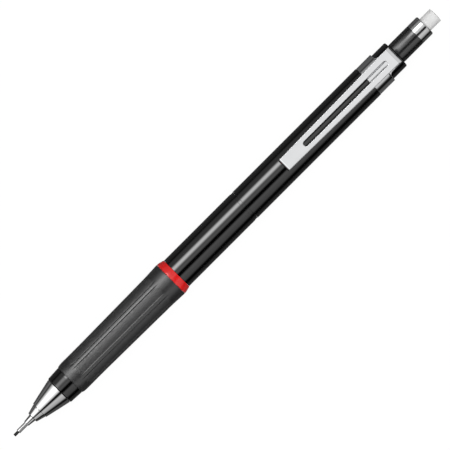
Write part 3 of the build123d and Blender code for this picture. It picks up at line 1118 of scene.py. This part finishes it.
# ---- Pieces on their bodies ----

for piece, node, body, slot, material in [
    (lead, "lead", "lead", "graphite", lead_graphite),
    (sleeve, "lead_sleeve", "nose", "sleeve_steel", sleeve_steel),
    (cone, "tip_cone", "nose", "nose_chrome", nose_chrome),
    (front_barrel, "front_barrel", "barrel", "black_gloss", black),
    (collar, "nose_collar", "barrel", "black_gloss", black),
    (grip, "grip_sleeve", "barrel", "grip_rubber", rubber),
    (accent_ring, "accent_ring", "barrel", "accent_red", red),
    (rear_barrel, "rear_barrel", "barrel", "black_gloss", black),
    (button, "push_button", "feed", "button_black", button_plastic),
    (ferrule, "button_ferrule", "feed", "ferrule_chrome", ferrule_chrome),
    (eraser, "eraser", "eraser", "eraser_white", eraser_vinyl),
]:
    piece.data.materials.append(material)
    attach(piece, body)
    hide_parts(node)

thread.data.materials.append(black)
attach(thread, "barrel")

clip.data.materials.append(clip_steel)
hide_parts("clip_band", "clip_arm")
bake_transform(clip)

spring.data.materials.append(spring_steel)
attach(spring, "barrel")
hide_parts("chuck_spring")
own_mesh(spring)

for node, material in [
    ("lead_retainer", retainer_black),
    ("chuck", brass),
    ("clutch_ring", brass),
    ("clutch_housing", brass),
    ("chuck_connector", tube_plastic),
    ("lead_tube", tube_plastic),
    ("spare_lead_1", lead_graphite),
    ("spare_lead_2", lead_graphite),
    ("spare_lead_3", lead_graphite),
]:
    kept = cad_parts[node]
    kept.data.materials.clear()
    kept.data.materials.append(material)

# ---- Studio ----


def light_ramp(nodes, links, angle, stops):
    """Light by angle: (degrees, level) stops, joined by straight lines."""
    place = nodes.new("ShaderNodeMapRange")
    place.inputs["From Min"].default_value = -math.pi
    place.inputs["From Max"].default_value = math.pi
    links.new(angle, place.inputs["Value"])
    node = nodes.new("ShaderNodeValToRGB")
    node.color_ramp.interpolation = "LINEAR"
    elements = node.color_ramp.elements
    elements.remove(elements[-1])
    peak = max(level for _, level in stops)
    for index, (degrees, level) in enumerate(stops):
        position = (degrees + 180) / 360
        element = elements[0] if index == 0 else elements.new(position)
        element.position = position
        share = level / peak
        element.color = (share, share, share, 1)
    links.new(place.outputs["Result"], node.inputs["Fac"])
    return scalar(nodes, links, "MULTIPLY", node.outputs["Color"], peak)


def scalar(nodes, links, operation, *values):
    """A math node on numbers and other nodes' outputs."""
    node = nodes.new("ShaderNodeMath")
    node.operation = operation
    for index, value in enumerate(values):
        if hasattr(value, "is_linked"):
            links.new(value, node.inputs[index])
        else:
            node.inputs[index].default_value = value
    return node.outputs["Value"]


def studio_world():
    """White studio: overhead panels, a narrow key light over the +Y side and two fills."""
    world = bpy.data.worlds.new("studio")
    bpy.context.scene.world = world
    world.use_nodes = True
    world.cycles.sampling_method = "NONE"
    nodes = world.node_tree.nodes
    links = world.node_tree.links
    nodes.clear()
    direction = nodes.new("ShaderNodeTexCoord")
    parts = nodes.new("ShaderNodeSeparateXYZ")
    links.new(direction.outputs["Generated"], parts.inputs["Vector"])
    x, y, z = parts.outputs["X"], parts.outputs["Y"], parts.outputs["Z"]
    around = scalar(nodes, links, "ARCTAN2", scalar(nodes, links, "MULTIPLY", y, -1.0), z)
    along = scalar(nodes, links, "ARCSINE", x)
    panels_around = [
        (-143, 0.16), (-113, 0.20), (-101, 0.22), (-92, 0.08), (-85, 0.14),
        (-79, 0.48), (-74, 0.64), (-67, 0.70), (-60, 0.72), (-50, 0.85), (-20, 1.50),
        (-12, 1.52), (-5, 1.62), (0, 1.72), (4, 1.50), (7, 0.75), (12, 0.03), (20, 0.0),
        (27, 0.06), (30.5, 0.55), (34.5, 1.30), (40, 1.64), (46, 1.58), (53, 1.42),
        (60, 1.30), (70, 1.18), (77, 0.80), (84, 0.12), (92, 0.01), (103, 0.01),
        (113, 0.18), (143, 0.18),
    ]
    panels_along = [
        (-75, 0.05), (-55, 0.35), (-38, 0.85), (-25, 1), (20, 1), (34, 0.76), (45, 0.54),
        (60, 0.30), (80, 0.05),
    ]
    key_around = [
        (-55, 0), (-51, 0.3), (-45, 4.4), (-40, 9.2), (-32, 10.8), (-26, 8.2), (-20, 2.5),
        (-15, 0),
    ]
    key_along = [
        (-46, 0), (-34, 0.15), (-7, 0.24), (-4.5, 1), (4.5, 1), (8, 0.26), (14, 0.20), (30, 0),
    ]
    # A second window, seen by faces that lean towards the tip
    side_around = [
        (-125, 0), (-112, 0.22), (-100, 0.18), (-90, 0), (-80, 0), (-70, 0.75),
        (-62, 1.65), (-52, 2.5), (-40, 3.0), (-16, 2.3), (-4, 0.7), (1, 0.4), (6, 0),
    ]
    side_along = [(-48, 0), (-38, 1), (-17, 1), (-9, 0)]
    # A low light behind the eraser end, seen by the clip's fold
    glossy = light_ramp(nodes, links, along, [(38, 0), (60, 0.94), (90, 1.17)])
    for around_stops, along_stops in (
        (panels_around, panels_along),
        (key_around, key_along),
        (side_around, side_along),
    ):
        light_around = light_ramp(nodes, links, around, around_stops)
        light_along = light_ramp(nodes, links, along, along_stops)
        light = scalar(nodes, links, "MULTIPLY", light_around, light_along)
        glossy = scalar(nodes, links, "ADD", glossy, light)
    # What matt surfaces receive: an even dome with a broad light straight above
    overhead = nodes.new("ShaderNodeMapRange")
    overhead.interpolation_type = "SMOOTHSTEP"
    overhead.inputs["From Min"].default_value = 0.80
    overhead.inputs["From Max"].default_value = 0.97
    overhead.inputs["To Min"].default_value = 0.44
    overhead.inputs["To Max"].default_value = 3.9
    links.new(z, overhead.inputs["Value"])
    rays = nodes.new("ShaderNodeLightPath")
    light = nodes.new("ShaderNodeMix")
    light.data_type = "FLOAT"
    links.new(rays.outputs["Is Diffuse Ray"], light.inputs["Factor"])
    links.new(glossy, light.inputs["A"])
    links.new(overhead.outputs["Result"], light.inputs["B"])
    seen = nodes.new("ShaderNodeMix")
    seen.data_type = "FLOAT"
    links.new(rays.outputs["Is Camera Ray"], seen.inputs["Factor"])
    links.new(light.outputs["Result"], seen.inputs["A"])
    seen.inputs["B"].default_value = 1.0
    background = nodes.new("ShaderNodeBackground")
    links.new(seen.outputs["Result"], background.inputs["Strength"])
    output = nodes.new("ShaderNodeOutputWorld")
    links.new(background.outputs["Background"], output.inputs["Surface"])


def studio_floor():
    """A plain white floor, which the pencil's reflections don't show."""
    bm = bmesh.new()
    reach = 4.0
    floor_z = cad_low.z - 0.00002
    corners = [(-reach, -reach), (reach, -reach), (reach, reach), (-reach, reach)]
    bm.faces.new([bm.verts.new((x, y, floor_z)) for x, y in corners])
    floor = new_piece("studio_floor", bm)
    material = bpy.data.materials.new("floor_white")
    material.use_nodes = True
    nodes = material.node_tree.nodes
    links = material.node_tree.links
    nodes.clear()
    rays = nodes.new("ShaderNodeLightPath")
    level = nodes.new("ShaderNodeMix")
    level.data_type = "FLOAT"
    level.inputs["A"].default_value = 0.11
    level.inputs["B"].default_value = 0.955
    links.new(rays.outputs["Is Camera Ray"], level.inputs["Factor"])
    glow = nodes.new("ShaderNodeEmission")
    links.new(level.outputs["Result"], glow.inputs["Strength"])
    matt = nodes.new("ShaderNodeBsdfDiffuse")
    matt.inputs["Color"].default_value = (0.06, 0.06, 0.06, 1)
    both = nodes.new("ShaderNodeAddShader")
    links.new(glow.outputs["Emission"], both.inputs[0])
    links.new(matt.outputs["BSDF"], both.inputs[1])
    output = nodes.new("ShaderNodeOutputMaterial")
    links.new(both.outputs["Shader"], output.inputs["Surface"])
    floor.data.materials.append(material)
    floor.visible_glossy = False
    floor.visible_diffuse = False


def studio_camera():
    """A long lens straight above, leaning a degree towards -Y, with the pencil on the diagonal."""
    lean = math.radians(1.0)
    view_width = 0.10954
    camera = bpy.data.cameras.new("studio_camera")
    camera.lens = 1400
    camera.sensor_width = 36
    camera.clip_start = 0.05
    camera.clip_end = 30
    holder = bpy.data.objects.new("studio_camera", camera)
    bpy.context.scene.collection.objects.link(holder)
    bpy.context.scene.camera = holder
    along = Vector((1, 0, 0))
    across = Vector((0, math.cos(lean), math.sin(lean)))
    right = (along - across).normalized()
    up = (along + across).normalized()
    back = right.cross(up)
    target = Vector((-0.00003, 0, AXIS_Z * MM))
    distance = view_width * camera.lens / camera.sensor_width
    turn = Matrix((right, up, back)).transposed()
    holder.matrix_world = Matrix.Translation(target + back * distance) @ turn.to_4x4()


studio_world()
studio_floor()
studio_camera()
bpy.context.scene.view_settings.view_transform = "Standard"
